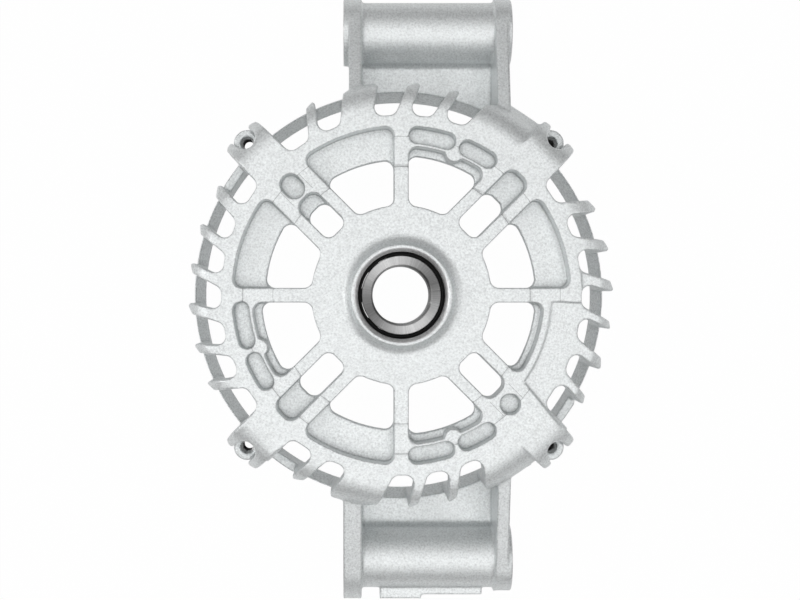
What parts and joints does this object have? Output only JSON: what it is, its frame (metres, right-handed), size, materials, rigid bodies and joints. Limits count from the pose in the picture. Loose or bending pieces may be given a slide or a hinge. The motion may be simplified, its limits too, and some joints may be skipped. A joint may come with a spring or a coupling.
{
  "type": "alternator drive end bracket",
  "caption": "Die-cast aluminium alternator front housing with spoked face, cooling fins, channel mounting lugs and a fitted ball bearing.",
  "frame": {"origin": "centre of the stator register at the rear face", "axes": "+Z along the shaft axis out of the hub face, +Y towards the upper lug, lug bolts run along X"},
  "size_m": [0.1276, 0.1852, 0.0415],
  "materials": {
    "cast_alloy": "shot-blasted die casting",
    "bearing_steel": "ground",
    "ball_steel": "polished",
    "cage_steel": "pressed sheet",
    "seal_rubber": "matt",
    "plated_steel": "zinc plated"
  },
  "bodies": {
    "bracket": {"drive_end_bracket": "cast_alloy", "bearing_outer_ring": "bearing_steel", "bearing_front_seal": "seal_rubber", "bearing_rear_seal": "seal_rubber", "bearing_retainer_plate": "plated_steel", "retainer_screws": "plated_steel"},
    "inner_ring": {"bearing_inner_ring": "bearing_steel"},
    "cage": {"cage_front": "cage_steel", "cage_rear": "cage_steel", "cage_rivets": "cage_steel", "ball_1": "ball_steel", "ball_2": "ball_steel", "ball_3": "ball_steel", "ball_4": "ball_steel", "ball_5": "ball_steel", "ball_6": "ball_steel", "ball_7": "ball_steel", "ball_8": "ball_steel"}
  },
  "joints": [
    {"name": "inner_ring_spin", "type": "hinge", "parent": "bracket", "child": "inner_ring", "pos_m": [0, 0, 0.0305], "axis": [0, 0, 1], "continuous": true},
    {"name": "cage_spin", "type": "hinge", "parent": "bracket", "child": "cage", "pos_m": [0, 0, 0.0305], "axis": [0, 0, 1], "continuous": true}
  ],
  "couplings": [
    {"joint": "cage_spin", "follows": "inner_ring_spin", "ratio": 0.3818}
  ]
}
